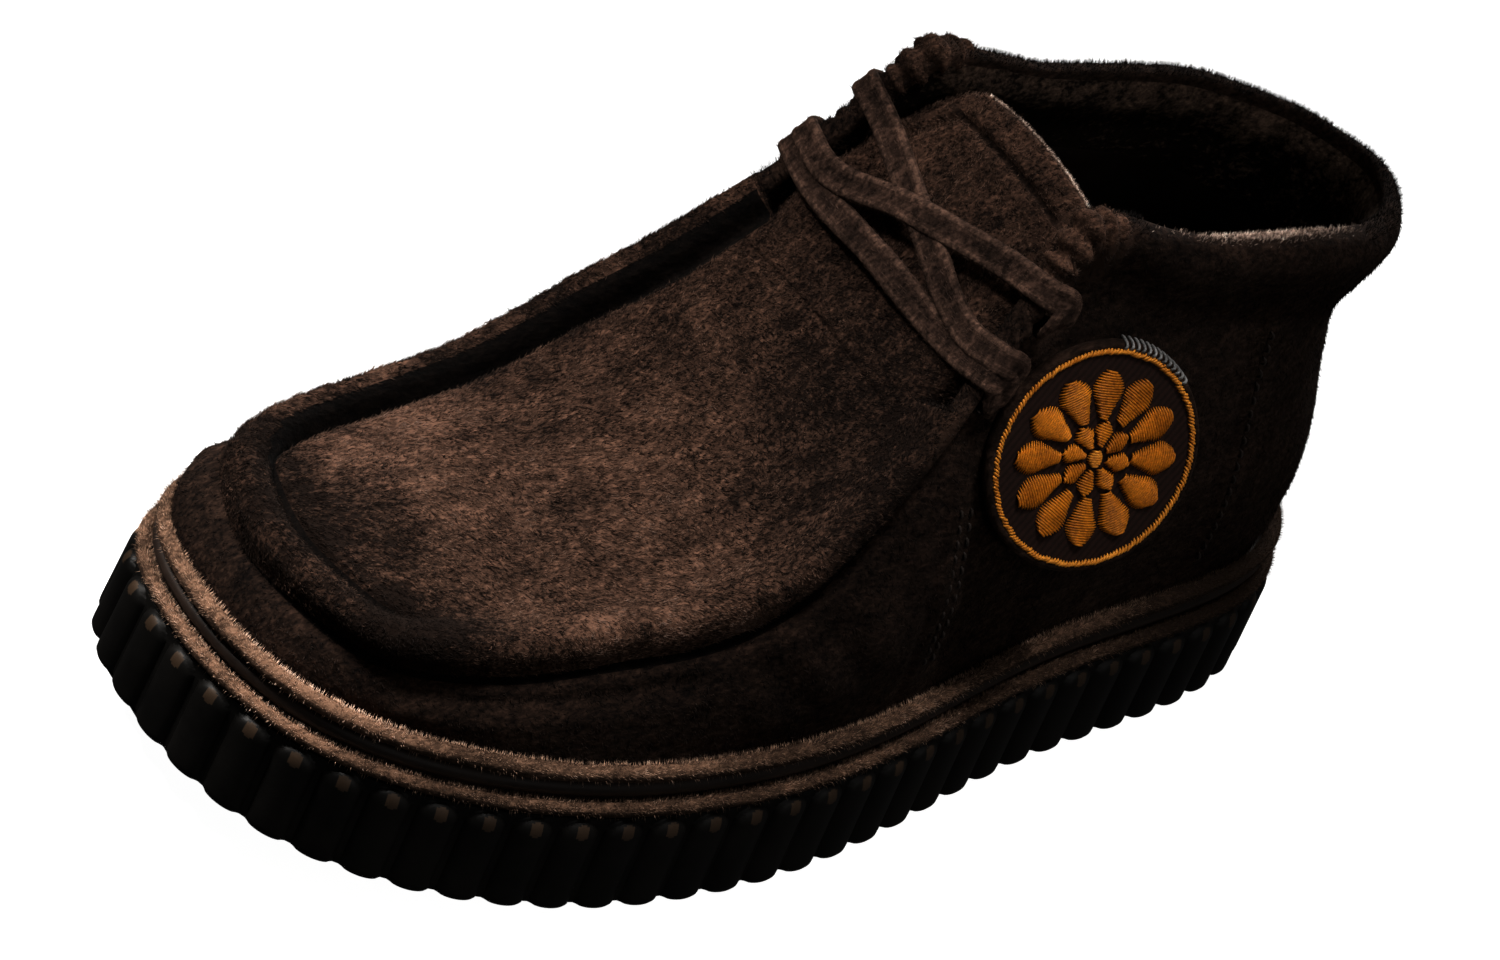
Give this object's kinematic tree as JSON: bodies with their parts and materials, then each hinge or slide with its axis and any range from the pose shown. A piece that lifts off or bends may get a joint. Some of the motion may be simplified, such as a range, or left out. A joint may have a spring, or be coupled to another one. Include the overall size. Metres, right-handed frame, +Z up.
{
  "type": "leather ankle boot",
  "caption": "Left suede ankle boot with a raised moccasin seam, laced tongue, round lace patch and a thick ribbed rubber sole; worn on a foot.",
  "frame": {"origin": "on the flat underside of the sole at the waist, close to the middle of its outline", "axes": "+X to the toe, +Y to the outer side, +Z up from the floor"},
  "size_m": [0.2961, 0.1161, 0.1403],
  "materials": {
    "outsole": "satin moulded",
    "midsole": "smooth",
    "lower_piping": "napped",
    "upper_piping": "napped",
    "insole": "smooth",
    "upper": "napped suede",
    "tongue": "napped suede",
    "lace": "napped",
    "lace_patch": "embroidered"
  },
  "bodies": {
    "root": {"outsole": "outsole", "midsole": "midsole", "lower_piping": "lower_piping", "upper_piping": "upper_piping", "insole": "insole", "upper": "upper", "tongue": "tongue", "lace": "lace", "lace_patch": "lace_patch"}
  },
  "joints": []
}
